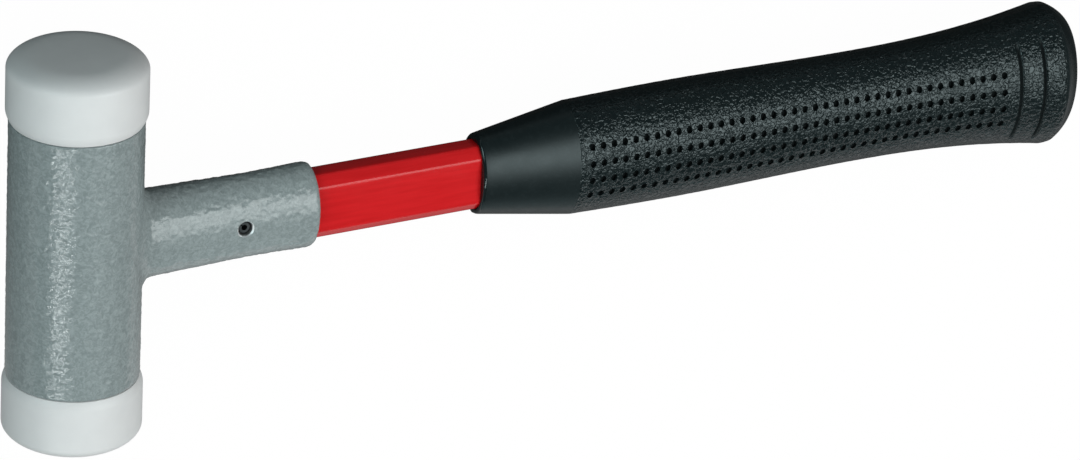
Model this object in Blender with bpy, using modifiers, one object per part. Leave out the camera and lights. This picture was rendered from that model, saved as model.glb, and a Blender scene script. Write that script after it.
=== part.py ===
# Dead blow hammer, lying on its side as on a bench.
# A steel head tube with a handle socket carries two press-in nylon faces and a loose charge of steel shot.
# A fibre handle core sits in the socket, held by a spring pin, and carries a moulded grip.
# Metres throughout. The head's axis runs along Y and the handle along +X.

import math

import bmesh
import bpy
from mathutils import Vector

# Head: nylon faces, steel tube and what is inside it
FACE_DIAMETER = 0.035
FACE_LENGTH = 0.0172
STRIKE_FLAT_DIAMETER = 0.012
STRIKE_CROWN = 0.0016
STRIKE_EDGE_WIDTH = 0.0035
STRIKE_EDGE_DROP = 0.0015
RIM_BEVEL_HEIGHT = 0.0026
RIM_BEVEL_DEPTH = 0.0009
SPIGOT_LENGTH = 0.010
SPIGOT_BARB_DEPTH = 0.0006
SPIGOT_BARBS = 3
TUBE_DIAMETER = 0.0334
TUBE_LENGTH = 0.0694
TUBE_WALL = 0.003
TUBE_EDGE_BEVEL = 0.0006
DISC_THICKNESS = 0.0015
SHOT_RING = 6
SHOT_LAYERS = 4
SHOT_ROOM = 0.009

# Handle socket: an oval neck on the tube, given as wall thickness round the handle core
SOCKET_LENGTH = 0.0466
SOCKET_FLOOR = 0.004
SOCKET_FILLET = 0.003
SOCKET_LIP_RADIUS = 0.0017
SOCKET_WAIST_FROM_END = 0.017
SOCKET_ROOT_WALL_TOP = 0.0027
SOCKET_ROOT_WALL_SIDE = 0.0039
SOCKET_WAIST_WALL_TOP = 0.00225
SOCKET_WAIST_WALL_SIDE = 0.0028
SOCKET_END_WALL_TOP = 0.0025
SOCKET_END_WALL_SIDE = 0.0033

# Handle core: a flat bar of eight sides
CORE_HEIGHT = 0.0176
CORE_WIDTH = 0.0093
CORE_CORNER_HEIGHT = 0.0027
CORE_CORNER_WIDTH = 0.00225
CORE_SHOWN_LENGTH = 0.0452

# Spring pin through socket and core
PIN_DIAMETER = 0.0033
PIN_WALL = 0.00095
PIN_SLOT = 0.0005
PIN_FROM_SOCKET_END = 0.0206
PIN_RECESS = 0.0006

# Grip: an oval sleeve, given as wall thickness round the handle core
GRIP_LENGTH = 0.1718
GRIP_NOSE_LENGTH = 0.0265
GRIP_MOUTH_ROUND = 0.0008
GRIP_MOUTH_WALL_TOP = 0.00205
GRIP_MOUTH_WALL_SIDE = 0.0023
GRIP_SHOULDER_WALL_TOP = 0.0066
GRIP_SHOULDER_WALL_SIDE = 0.0060
GRIP_BELLY_FROM_SHOULDER = 0.030
GRIP_BELLY_WALL_TOP = 0.00705
GRIP_BELLY_WALL_SIDE = 0.00635
GRIP_WAIST_FROM_BUTT = 0.0561
GRIP_WAIST_WALL_TOP = 0.0063
GRIP_WAIST_WALL_SIDE = 0.00575
GRIP_BUTT_WALL_TOP = 0.0107
GRIP_BUTT_WALL_SIDE = 0.0096
GRIP_BUTT_ROUND = 0.0084
GRIP_FLARE_POWER = 2.36
GRIP_END_WALL = 0.010

# Fits and facets
FIT_GAP = 0.0003
CUT_MARGIN = 0.002
TURNED_STEPS = 48
SOCKET_SIDES = 40
GRIP_SIDES = 36

# Places along the head's axis, from its middle
face_radius = FACE_DIAMETER / 2
tube_radius = TUBE_DIAMETER / 2
bore_radius = tube_radius - TUBE_WALL
lying_radius = max(face_radius, tube_radius)
seat_place = TUBE_LENGTH / 2 + FIT_GAP
disc_place = seat_place - SPIGOT_LENGTH - FIT_GAP - DISC_THICKNESS / 2
chamber_half = disc_place - DISC_THICKNESS / 2

# Places along the handle, from the head's axis
socket_end = tube_radius + SOCKET_LENGTH
core_start = tube_radius + SOCKET_FLOOR + FIT_GAP
pin_place = socket_end - PIN_FROM_SOCKET_END
grip_start = socket_end + CORE_SHOWN_LENGTH
grip_end = grip_start + GRIP_LENGTH
core_end = grip_end - GRIP_END_WALL - FIT_GAP

# Shot: layers of one ball in the middle of the bore and a ring round it.
# The balls are the largest that fit across the bore and leave room to slide along the chamber.
ring_share = max(1, 0.5 / math.sin(math.pi / SHOT_RING))
bore_fit = (bore_radius - FIT_GAP * (1 + ring_share)) / (1 + 2 * ring_share)
chamber_fit = ((2 * chamber_half - SHOT_ROOM) / SHOT_LAYERS - FIT_GAP) / 2
shot_radius = min(bore_fit, chamber_fit)
shot_pitch = 2 * shot_radius + FIT_GAP
shot_ring_radius = shot_pitch * ring_share


def make_collection(name):
    collection = bpy.data.collections.new(name)
    bpy.context.scene.collection.children.link(collection)
    return collection


def make_material(name, colour, roughness, metallic):
    material = bpy.data.materials.new(name)
    material.use_nodes = True
    shader = material.node_tree.nodes["Principled BSDF"]
    shader.inputs["Base Color"].default_value = (*colour, 1)
    shader.inputs["Roughness"].default_value = roughness
    shader.inputs["Metallic"].default_value = metallic
    return material


def make_empty(name, parent, place=(0, 0, 0)):
    empty = bpy.data.objects.new(name, None)
    parts.objects.link(empty)
    empty.parent = parent
    empty.location = place
    return empty


def add_part(name, mesh, material, parent, place=(0, 0, 0), turn=(0, 0, 0)):
    part = bpy.data.objects.new(name, mesh)
    parts.objects.link(part)
    if not mesh.materials:
        mesh.materials.append(material)
    mesh.shade_smooth()
    mesh.set_sharp_from_angle(angle=math.radians(35))
    part.parent = parent
    part.location = place
    part.rotation_euler = turn
    return part


def mesh_from(bm, name):
    bmesh.ops.recalc_face_normals(bm, faces=bm.faces)
    mesh = bpy.data.meshes.new(name)
    bm.to_mesh(mesh)
    bm.free()
    return mesh


def profile_mesh(name, points, closed=False):
    # Points are (radius, height) and run down the outer side of a turned shape
    count = len(points)
    edges = [(i, i + 1) for i in range(count - 1)]
    if closed:
        edges.append((count - 1, 0))
    mesh = bpy.data.meshes.new(name)
    mesh.from_pydata([(radius, 0, height) for radius, height in points], edges, [])
    return mesh


def add_turned(name, points, material, parent, place, turn, closed=False):
    part = add_part(name, profile_mesh(name, points, closed), material, parent, place, turn)
    screw = part.modifiers.new("Turn", "SCREW")
    screw.axis = "Z"
    screw.steps = TURNED_STEPS
    screw.render_steps = TURNED_STEPS
    screw.use_merge_vertices = True
    screw.merge_threshold = 1e-5
    screw.use_smooth_shade = True
    return part


def prism_mesh(name, outline, length, place):
    # place turns an outline point and a distance along the prism into a point
    bm = bmesh.new()
    base = bm.faces.new([bm.verts.new(place(a, b, 0)) for a, b in outline])
    extruded = bmesh.ops.extrude_face_region(bm, geom=[base])["geom"]
    step = place(0, 0, length) - place(0, 0, 0)
    moved = [item for item in extruded if isinstance(item, bmesh.types.BMVert)]
    bmesh.ops.translate(bm, verts=moved, vec=step)
    return mesh_from(bm, name)


def loft_mesh(name, rings):
    # Each ring is a closed loop of points, and all have the same count
    bm = bmesh.new()
    loops = [[bm.verts.new(point) for point in ring] for ring in rings]
    count = len(loops[0])
    for near, far in zip(loops, loops[1:]):
        for i in range(count):
            j = (i + 1) % count
            bm.faces.new((near[i], near[j], far[j], far[i]))
    bm.faces.new(loops[0])
    bm.faces.new(loops[-1])
    return mesh_from(bm, name)


def add_cutter(name, mesh, parent):
    cutter = bpy.data.objects.new(name, mesh)
    cutters.objects.link(cutter)
    cutter.parent = parent
    cutter.hide_render = True
    cutter.display_type = "WIRE"
    return cutter


def cut(part, cutter):
    boolean = part.modifiers.new("Cut " + cutter.name, "BOOLEAN")
    boolean.operation = "DIFFERENCE"
    boolean.solver = "EXACT"
    boolean.object = cutter


def along_x(start):
    return lambda a, b, distance: Vector((start + distance, a, b))


def along_z(x, start):
    return lambda a, b, distance: Vector((x + a, b, start + distance))


def core_outline(gap=0.0):
    # Eight corners of the core's section as (y, z), grown by a gap
    y = CORE_HEIGHT / 2 + gap
    z = CORE_WIDTH / 2 + gap
    quarter = [(y, z - CORE_CORNER_WIDTH), (y - CORE_CORNER_HEIGHT, z)]
    half = quarter + [(-b, c) for b, c in reversed(quarter)]
    return half + [(-b, -c) for b, c in half]


def circle_outline(radius, count):
    turns = [2 * math.pi * i / count for i in range(count)]
    return [(radius * math.cos(turn), radius * math.sin(turn)) for turn in turns]


def ease(share):
    # Smooth step from 0 to 1
    share = min(max(share, 0), 1)
    return share * share * (3 - 2 * share)


def socket_half_sizes(x):
    # Half height and half width of the neck at x, without its fillet and lip
    waist_place = socket_end - SOCKET_WAIST_FROM_END
    if x < waist_place:
        share = ease((x - tube_radius) / (waist_place - tube_radius))
        top = SOCKET_ROOT_WALL_TOP + (SOCKET_WAIST_WALL_TOP - SOCKET_ROOT_WALL_TOP) * share
        side = SOCKET_ROOT_WALL_SIDE + (SOCKET_WAIST_WALL_SIDE - SOCKET_ROOT_WALL_SIDE) * share
    else:
        share = ease((x - waist_place) / SOCKET_WAIST_FROM_END)
        top = SOCKET_WAIST_WALL_TOP + (SOCKET_END_WALL_TOP - SOCKET_WAIST_WALL_TOP) * share
        side = SOCKET_WAIST_WALL_SIDE + (SOCKET_END_WALL_SIDE - SOCKET_WAIST_WALL_SIDE) * share
    return CORE_HEIGHT / 2 + top, CORE_WIDTH / 2 + side


def socket_rings():
    # Rings start inside the tube, follow its round side up the fillet, then straighten along the neck
    steps = [(-bore_radius / 2, SOCKET_FILLET, 0.0)]
    for i in range(5):
        angle = math.pi / 2 * (1 - i / 4)
        rise = SOCKET_FILLET * (1 - math.sin(angle))
        steps.append((rise, SOCKET_FILLET * (1 - math.cos(angle)), 0.0))
    neck_steps = 9
    neck_length = SOCKET_LENGTH - SOCKET_LIP_RADIUS - SOCKET_FILLET
    for i in range(1, neck_steps + 1):
        share = i / neck_steps
        steps.append((SOCKET_FILLET + neck_length * share, 0.0, ease(2 * share)))
    for i in range(1, 4):
        angle = math.pi / 2 * i / 3
        rise = SOCKET_LENGTH - SOCKET_LIP_RADIUS * (1 - math.sin(angle))
        steps.append((rise, -SOCKET_LIP_RADIUS * (1 - math.cos(angle)), 1.0))
    rings = []
    for rise, grow, straight in steps:
        half_height, half_width = socket_half_sizes(tube_radius + rise)
        ring = []
        for a, b in circle_outline(1, SOCKET_SIDES):
            y = (half_height + grow) * a
            z = (half_width + grow) * b
            side = math.sqrt(max(tube_radius**2 - z * z, 0))
            ring.append((rise + side + (tube_radius - side) * straight, y, z))
        rings.append(ring)
    return rings


def grip_wall(x, mouth, shoulder, belly, waist, butt):
    # Wall round the core at x: a straight nose, a full belly, a slimmer waist and a flared butt
    shoulder_place = grip_start + GRIP_NOSE_LENGTH
    belly_place = shoulder_place + GRIP_BELLY_FROM_SHOULDER
    butt_place = grip_end - GRIP_BUTT_ROUND
    waist_place = max(belly_place, butt_place - GRIP_WAIST_FROM_BUTT)
    if x <= shoulder_place:
        return mouth + (shoulder - mouth) * (x - grip_start) / GRIP_NOSE_LENGTH
    if x <= belly_place:
        share = (x - shoulder_place) / GRIP_BELLY_FROM_SHOULDER
        return shoulder + (belly - shoulder) * math.sin(math.pi / 2 * share)
    if x <= waist_place:
        return belly + (waist - belly) * ease((x - belly_place) / (waist_place - belly_place))
    share = min((x - waist_place) / (butt_place - waist_place), 1)
    return waist + (butt - waist) * share**GRIP_FLARE_POWER


def grip_half_sizes(x):
    top = grip_wall(
        x,
        GRIP_MOUTH_WALL_TOP,
        GRIP_SHOULDER_WALL_TOP,
        GRIP_BELLY_WALL_TOP,
        GRIP_WAIST_WALL_TOP,
        GRIP_BUTT_WALL_TOP,
    )
    side = grip_wall(
        x,
        GRIP_MOUTH_WALL_SIDE,
        GRIP_SHOULDER_WALL_SIDE,
        GRIP_BELLY_WALL_SIDE,
        GRIP_WAIST_WALL_SIDE,
        GRIP_BUTT_WALL_SIDE,
    )
    return CORE_HEIGHT / 2 + top, CORE_WIDTH / 2 + side


def grip_stations():
    # Stations as (x, half height, half width), with both ends rounded over
    stations = []
    for i in range(4):
        angle = math.pi / 2 * i / 3
        x = grip_start + GRIP_MOUTH_ROUND * (1 - math.cos(angle))
        shrink = GRIP_MOUTH_ROUND * (1 - math.sin(angle))
        stations.append((x, *[size - shrink for size in grip_half_sizes(x)]))
    shoulder_place = grip_start + GRIP_NOSE_LENGTH
    butt_place = grip_end - GRIP_BUTT_ROUND
    stations.append((shoulder_place, *grip_half_sizes(shoulder_place)))
    body_steps = 18
    for i in range(1, body_steps + 1):
        x = shoulder_place + (butt_place - shoulder_place) * i / body_steps
        stations.append((x, *grip_half_sizes(x)))
    for i in range(1, 6):
        angle = math.pi / 2 * i / 5
        x = butt_place + GRIP_BUTT_ROUND * math.sin(angle)
        shrink = GRIP_BUTT_ROUND * (1 - math.cos(angle))
        stations.append((x, *[size - shrink for size in grip_half_sizes(x)]))
    return stations


def grip_rings():
    rings = []
    for x, half_height, half_width in grip_stations():
        outline = circle_outline(1, GRIP_SIDES)
        rings.append([(x, half_height * a, half_width * b) for a, b in outline])
    return rings


def face_profile():
    # Crowned strike face, its soft edge, rim, beveled seat, then the barbed spigot
    flat = STRIKE_FLAT_DIAMETER / 2
    edge_start = face_radius - STRIKE_EDGE_WIDTH

    def crowned(radius):
        share = (radius - flat) / (face_radius - flat)
        return FACE_LENGTH - STRIKE_CROWN * share**2

    points = [(0, FACE_LENGTH)]
    crown_steps = 3
    for i in range(crown_steps + 1):
        radius = flat + (edge_start - flat) * i / crown_steps
        points.append((radius, crowned(radius)))
    arc_steps = 5
    for i in range(1, arc_steps + 1):
        angle = math.pi / 2 * i / arc_steps
        radius = edge_start + STRIKE_EDGE_WIDTH * math.sin(angle)
        points.append((radius, crowned(radius) - STRIKE_EDGE_DROP * (1 - math.cos(angle))))
    points.append((face_radius, RIM_BEVEL_HEIGHT))
    points.append((face_radius - RIM_BEVEL_DEPTH, 0))
    barb_radius = bore_radius - FIT_GAP
    barb_length = SPIGOT_LENGTH / SPIGOT_BARBS
    for i in range(SPIGOT_BARBS):
        points.append((barb_radius, -i * barb_length))
        points.append((barb_radius - SPIGOT_BARB_DEPTH, -(i + 1) * barb_length))
    points.append((0, -SPIGOT_LENGTH))
    return points


def tube_profile():
    half = TUBE_LENGTH / 2
    return [
        (bore_radius, half),
        (tube_radius - TUBE_EDGE_BEVEL, half),
        (tube_radius, half - TUBE_EDGE_BEVEL),
        (tube_radius, -half + TUBE_EDGE_BEVEL),
        (tube_radius - TUBE_EDGE_BEVEL, -half),
        (bore_radius, -half),
    ]


def disc_profile():
    radius = bore_radius - FIT_GAP
    half = DISC_THICKNESS / 2
    return [(0, half), (radius, half), (radius, -half), (0, -half)]


def pin_outline():
    # A rolled sheet: almost a full ring, open at a narrow slot
    outer = PIN_DIAMETER / 2
    inner = outer - PIN_WALL
    steps = 16
    points = []
    for radius, order in ((outer, range(steps + 1)), (inner, range(steps, -1, -1))):
        half_slot = math.asin(PIN_SLOT / 2 / radius)
        for i in order:
            turn = half_slot + (2 * math.pi - 2 * half_slot) * i / steps
            points.append((radius * math.cos(turn), radius * math.sin(turn)))
    return points


def shot_places():
    # Centres of the balls from the low end of the chamber, layer by layer
    places = []
    low = -chamber_half + FIT_GAP + shot_radius
    for layer in range(SHOT_LAYERS):
        y = low + layer * shot_pitch
        places.append((0, y, 0))
        for a, b in circle_outline(shot_ring_radius, SHOT_RING):
            places.append((a, y, b))
    return places


def rest_tilt():
    # The handle dips until the widest part of its butt meets the plane that the head lies on
    tilts = []
    for x, _, half_width in grip_stations():
        reach = math.hypot(x, half_width)
        tilts.append(math.asin(lying_radius / reach) - math.atan2(half_width, x))
    return min(tilts)


def far_end(tilt):
    # Furthest reach of the tilted handle along X
    return max(x * math.cos(tilt) + w * math.sin(tilt) for x, _, w in grip_stations())


for old in list(bpy.data.objects):
    bpy.data.objects.remove(old, do_unlink=True)
parts = make_collection("dead_blow_hammer")
cutters = make_collection("cutters")

enamel = make_material("grey_enamel", (0.25, 0.28, 0.28), 0.45, 0.3)
nylon = make_material("white_nylon", (0.66, 0.68, 0.68), 0.42, 0.0)
fibre = make_material("red_fibre", (0.60, 0.014, 0.018), 0.28, 0.0)
rubber = make_material("black_rubber", (0.010, 0.013, 0.014), 0.55, 0.0)
spring_steel = make_material("spring_steel", (0.30, 0.30, 0.30), 0.4, 1.0)
ball_steel = make_material("ball_steel", (0.55, 0.55, 0.56), 0.25, 1.0)
disc_steel = make_material("disc_steel", (0.42, 0.42, 0.42), 0.4, 1.0)

# The root lies the hammer on its side, with its box centred over the origin
tilt = rest_tilt()
root = make_empty("hammer_root", None, ((lying_radius - far_end(tilt)) / 2, 0, lying_radius))
root.rotation_euler = (0, tilt, 0)
shot_slide = make_empty("shot_slide_axis", root)

# Turned pieces have their own Z along the head's axis
towards_upper = (-math.pi / 2, 0, 0)
towards_lower = (math.pi / 2, 0, 0)
add_turned("head_tube", tube_profile(), enamel, root, (0, 0, 0), towards_upper, closed=True)
for side, sign, turn in (("upper", 1, towards_upper), ("lower", -1, towards_lower)):
    add_turned(side + "_face", face_profile(), nylon, root, (0, sign * seat_place, 0), turn)
    add_turned(side + "_disc", disc_profile(), disc_steel, root, (0, sign * disc_place, 0), turn)

ball = bmesh.new()
bmesh.ops.create_uvsphere(ball, u_segments=10, v_segments=7, radius=shot_radius)
ball_mesh = mesh_from(ball, "shot")
for number, place in enumerate(shot_places(), start=1):
    add_part(f"shot_{number:02d}", ball_mesh, ball_steel, shot_slide, place)

socket = add_part("handle_socket", loft_mesh("handle_socket", socket_rings()), enamel, root)
core_length = core_end - core_start
core_mesh = prism_mesh("handle_core", core_outline(), core_length, along_x(core_start))
core = add_part("handle_core", core_mesh, fibre, root)
grip = add_part("grip", loft_mesh("grip", grip_rings()), rubber, root)

pin_half = socket_half_sizes(pin_place)[1] - PIN_RECESS
pin_mesh = prism_mesh("spring_pin", pin_outline(), 2 * pin_half, along_z(pin_place, -pin_half))
add_part("spring_pin", pin_mesh, spring_steel, root)

# Cutters: the tube's outside, the core's bore in socket and grip, and the pin's hole
saddle = bmesh.new()
bmesh.ops.create_cone(
    saddle,
    cap_ends=True,
    segments=96,
    radius1=tube_radius + FIT_GAP,
    radius2=tube_radius + FIT_GAP,
    depth=TUBE_LENGTH,
)
saddle_cutter = add_cutter("saddle_cutter", mesh_from(saddle, "saddle_cutter"), root)
saddle_cutter.rotation_euler = towards_upper

bore_start = core_start - FIT_GAP
bore_length = core_end + FIT_GAP - bore_start
bore_mesh = prism_mesh("bore_cutter", core_outline(FIT_GAP), bore_length, along_x(bore_start))
bore_cutter = add_cutter("bore_cutter", bore_mesh, root)

hole_half = socket_half_sizes(pin_place)[1] + CUT_MARGIN
hole_outline = circle_outline(PIN_DIAMETER / 2 + FIT_GAP, 20)
hole_mesh = prism_mesh("pin_hole_cutter", hole_outline, 2 * hole_half, along_z(pin_place, -hole_half))
hole_cutter = add_cutter("pin_hole_cutter", hole_mesh, root)

cut(socket, saddle_cutter)
cut(socket, bore_cutter)
cut(socket, hole_cutter)
cut(core, hole_cutter)
cut(grip, bore_cutter)
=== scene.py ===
import math

import bmesh
import bpy
import numpy as np
from mathutils import Matrix, Vector


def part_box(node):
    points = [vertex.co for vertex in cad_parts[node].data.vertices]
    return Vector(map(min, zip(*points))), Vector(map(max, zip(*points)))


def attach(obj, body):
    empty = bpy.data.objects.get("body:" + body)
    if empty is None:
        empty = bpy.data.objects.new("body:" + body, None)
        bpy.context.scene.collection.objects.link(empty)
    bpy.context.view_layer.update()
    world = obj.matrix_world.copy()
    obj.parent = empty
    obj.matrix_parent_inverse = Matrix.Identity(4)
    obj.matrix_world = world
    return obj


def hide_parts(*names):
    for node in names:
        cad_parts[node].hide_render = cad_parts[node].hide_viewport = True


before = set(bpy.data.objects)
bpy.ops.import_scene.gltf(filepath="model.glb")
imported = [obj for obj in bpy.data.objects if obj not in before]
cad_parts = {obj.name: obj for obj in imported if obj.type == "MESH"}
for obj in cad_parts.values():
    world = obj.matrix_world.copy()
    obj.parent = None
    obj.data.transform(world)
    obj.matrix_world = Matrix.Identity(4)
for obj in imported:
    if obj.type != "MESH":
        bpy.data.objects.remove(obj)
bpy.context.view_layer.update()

scene = bpy.context.scene
print("frame loaded with", len(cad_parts), "nodes")


# where the hammer lies: its own axes run along the handle (X), the head (Y) and across (Z)
def middleOf(node):
    low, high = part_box(node)
    return (low + high) / 2


headMiddle = middleOf("head_tube")
coreMiddle = middleOf("handle_core")
tilt = math.atan2(headMiddle.z - coreMiddle.z, coreMiddle.x - headMiddle.x)
lie = Matrix.Translation(headMiddle) @ Matrix.Rotation(tilt, 4, "Y")


# small helpers for meshes
def newObject(name, mesh):
    obj = bpy.data.objects.new(name, mesh)
    scene.collection.objects.link(obj)
    return obj


def pointOutwards(mesh):
    bm = bmesh.new()
    bm.from_mesh(mesh)
    bmesh.ops.recalc_face_normals(bm, faces=bm.faces)
    bm.to_mesh(mesh)
    bm.free()


def loftObject(name, rings, closed=False):
    # rings of points; closed joins the last ring to the first, otherwise both ends are capped
    rings = np.asarray(rings, float)
    count, around = rings.shape[:2]
    ids = np.arange(count * around).reshape(count, around)
    nextIds = np.roll(ids, -1, axis=0) if closed else ids[1:]
    baseIds = ids if closed else ids[:-1]
    quads = np.stack([baseIds, np.roll(baseIds, -1, 1), np.roll(nextIds, -1, 1), nextIds], -1)
    faces = quads.reshape(-1, 4).tolist()
    if not closed:
        faces += [ids[0].tolist(), ids[-1].tolist()]
    mesh = bpy.data.meshes.new(name)
    mesh.from_pydata(rings.reshape(-1, 3).tolist(), [], faces)
    pointOutwards(mesh)
    return newObject(name, mesh)


def turnedRings(profile, steps):
    # profile of (radius, place along the head's axis), turned round that axis
    turn = np.linspace(0, 2 * math.pi, steps, endpoint=False)
    profile = np.asarray(profile, float)
    x = profile[:, :1] * np.cos(turn)
    z = profile[:, :1] * np.sin(turn)
    y = np.repeat(profile[:, 1:], steps, axis=1)
    return np.stack([x, y, z], -1)


def arc(middle, radius, start, end, steps):
    # points of a quarter round or so, angles in degrees
    angles = np.radians(np.linspace(start, end, steps + 1))
    return [(middle[0] + radius * math.cos(a), middle[1] + radius * math.sin(a)) for a in angles]


def alongX(outline, x):
    return [(x, y, z) for y, z in outline]


def setPoints(obj, name, values):
    # one number for each point, under that name
    layer = obj.data.attributes.new(name, "FLOAT", "POINT")
    layer.data.foreach_set("value", np.asarray(values, np.float32))


def cutAway(obj, cutter, transfer=False):
    boolean = obj.modifiers.new("cut " + cutter.name, "BOOLEAN")
    boolean.operation = "DIFFERENCE"
    boolean.solver = "MANIFOLD"
    boolean.object = cutter
    if transfer:
        boolean.material_mode = "TRANSFER"


def freeze(obj, sharpAngle=40):
    # modifiers become plain mesh
    graph = bpy.context.evaluated_depsgraph_get()
    mesh = bpy.data.meshes.new_from_object(obj.evaluated_get(graph), depsgraph=graph)
    mesh.name = obj.name
    obj.modifiers.clear()
    obj.data = mesh
    mesh.shade_smooth()
    mesh.set_sharp_from_angle(angle=math.radians(sharpAngle))


def dropCutter(cutter):
    bpy.data.objects.remove(cutter, do_unlink=True)


def handOver(obj, body, slotName, *stoodFor):
    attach(obj, body)
    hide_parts(*stoodFor)
    print(obj.name, "done:", len(obj.data.polygons), "faces")


def settle(obj, body, slotName, *stoodFor):
    # lay the finished piece down with the rest of the hammer and hand it to its body
    obj.data.transform(lie)
    obj.data.update()
    handOver(obj, body, slotName, *stoodFor)


def standing(side, back):
    # turn of a camera or lamp: its X runs along side, and it looks away from back
    return Matrix((side, back.cross(side), back)).transposed().to_4x4()


# small helpers for node trees
def addNode(tree, kind, x, y, values=None, **settings):
    # values go to the node's inputs
    made = tree.nodes.new(kind)
    made.location = (x, y)
    for key, value in settings.items():
        setattr(made, key, value)
    for socket, value in (values or {}).items():
        made.inputs[socket].default_value = value
    return made


def addSockets(tree, inputs, outputs):
    for name, kind, value in inputs:
        socket = tree.interface.new_socket(name, in_out="INPUT", socket_type=kind)
        if value is not None:
            socket.default_value = value
    for name, kind in outputs:
        tree.interface.new_socket(name, in_out="OUTPUT", socket_type=kind)


def addTree(obj, tree, values):
    # inputs are set by identifier before anything is evaluated
    modifier = obj.modifiers.new(tree.name, "NODES")
    modifier.node_group = tree
    for item in tree.interface.items_tree:
        if item.item_type == "SOCKET" and item.in_out == "INPUT" and item.name in values:
            modifier[item.identifier] = values[item.name]


def mathNode(tree, operation, x, y, *values):
    made = addNode(tree, "ShaderNodeMath", x, y, operation=operation)
    for slot, value in enumerate(values):
        if isinstance(value, (int, float)):
            made.inputs[slot].default_value = value
        else:
            tree.links.new(value, made.inputs[slot])
    return made.outputs[0]


# shader groups that several finishes share
def buildMottle():
    # slow drift between two values, for gloss and tone that is never quite even
    tree = bpy.data.node_groups.new("softMottle", "ShaderNodeTree")
    addSockets(
        tree,
        [
            ("Vector", "NodeSocketVector", None),
            ("Patch Size", "NodeSocketFloat", 0.01),
            ("Low", "NodeSocketFloat", 0.4),
            ("High", "NodeSocketFloat", 0.5),
        ],
        [("Value", "NodeSocketFloat")],
    )
    source = addNode(tree, "NodeGroupInput", -700, 0)
    target = addNode(tree, "NodeGroupOutput", 300, 0)
    scale = mathNode(tree, "DIVIDE", -500, -120, 1.0, source.outputs["Patch Size"])
    noise = addNode(tree, "ShaderNodeTexNoise", -320, 0, {"Detail": 3.0, "Roughness": 0.6})
    spread = addNode(tree, "ShaderNodeMapRange", 0, 0, {"From Min": 0.3, "From Max": 0.7})
    tree.links.new(source.outputs["Vector"], noise.inputs["Vector"])
    tree.links.new(scale, noise.inputs["Scale"])
    tree.links.new(noise.outputs["Fac"], spread.inputs["Value"])
    tree.links.new(source.outputs["Low"], spread.inputs["To Min"])
    tree.links.new(source.outputs["High"], spread.inputs["To Max"])
    tree.links.new(spread.outputs["Result"], target.inputs["Value"])
    return tree


def buildPebble():
    # pebbled surface: rounded lumps with finer ones on them
    tree = bpy.data.node_groups.new("pebbleGrain", "ShaderNodeTree")
    addSockets(
        tree,
        [
            ("Vector", "NodeSocketVector", None),
            ("Lump Size", "NodeSocketFloat", 0.001),
            ("Wander", "NodeSocketFloat", 0.5),
            ("Fine Share", "NodeSocketFloat", 0.35),
        ],
        [("Height", "NodeSocketFloat"), ("Crest", "NodeSocketFloat")],
    )
    source = addNode(tree, "NodeGroupInput", -900, 0)
    target = addNode(tree, "NodeGroupOutput", 500, 0)
    scale = mathNode(tree, "DIVIDE", -700, -160, 1.0, source.outputs["Lump Size"])
    fineRatio = 2.3
    fineScale = mathNode(tree, "MULTIPLY", -520, -300, scale, fineRatio)
    lumps = addNode(tree, "ShaderNodeTexNoise", -420, 100, {"Detail": 1.0})
    fine = addNode(tree, "ShaderNodeTexNoise", -300, -240, {"Detail": 1.0})
    for texture, size in ((lumps, scale), (fine, fineScale)):
        tree.links.new(source.outputs["Vector"], texture.inputs["Vector"])
        tree.links.new(size, texture.inputs["Scale"])
        tree.links.new(source.outputs["Wander"], texture.inputs["Distortion"])
    blend = addNode(tree, "ShaderNodeMix", -80, 0, data_type="FLOAT")
    tree.links.new(source.outputs["Fine Share"], blend.inputs["Factor"])
    tree.links.new(lumps.outputs["Fac"], blend.inputs["A"])
    tree.links.new(fine.outputs["Fac"], blend.inputs["B"])
    for row, (output, low, high) in enumerate((("Height", 0.3, 0.7), ("Crest", 0.52, 0.66))):
        ends = {"From Min": low, "From Max": high}
        spread = addNode(
            tree, "ShaderNodeMapRange", 140, 60 - 260 * row, ends, interpolation_type="SMOOTHSTEP"
        )
        tree.links.new(blend.outputs["Result"], spread.inputs["Value"])
        tree.links.new(spread.outputs["Result"], target.inputs[output])
    return tree


mottleGroup = buildMottle()
pebbleGroup = buildPebble()


def newMaterial(name, fixed):
    # fixed holds the shader values that are the same all over
    material = bpy.data.materials.new(name)
    material.use_nodes = True
    tree = material.node_tree
    shader = tree.nodes["Principled BSDF"]
    for socket, value in fixed.items():
        shader.inputs[socket].default_value = value
    place = addNode(tree, "ShaderNodeTexCoord", -1300, 0).outputs["Object"]
    return material, tree, shader, place


def addGroup(tree, group, place, x, y, values):
    made = addNode(tree, "ShaderNodeGroup", x, y, values, node_tree=group)
    tree.links.new(place, made.inputs["Vector"])
    return made


def twoTone(tree, factor, dark, light, x, y):
    mix = addNode(tree, "ShaderNodeMix", x, y, {"A": (*dark, 1), "B": (*light, 1)}, data_type="RGBA")
    tree.links.new(factor, mix.inputs["Factor"])
    return mix.outputs["Result"]


def dress(tree, shader, colour, gloss, height, finish):
    # colour, roughness and a bump from the height go to the shader
    strength = {"Strength": finish["bump"], "Distance": finish["bumpHeight"]}
    bump = addNode(tree, "ShaderNodeBump", -400, -300, strength)
    tree.links.new(height, bump.inputs["Height"])
    for source, socket in ((colour, "Base Color"), (gloss, "Roughness"), (bump.outputs["Normal"], "Normal")):
        tree.links.new(source, shader.inputs[socket])


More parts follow.
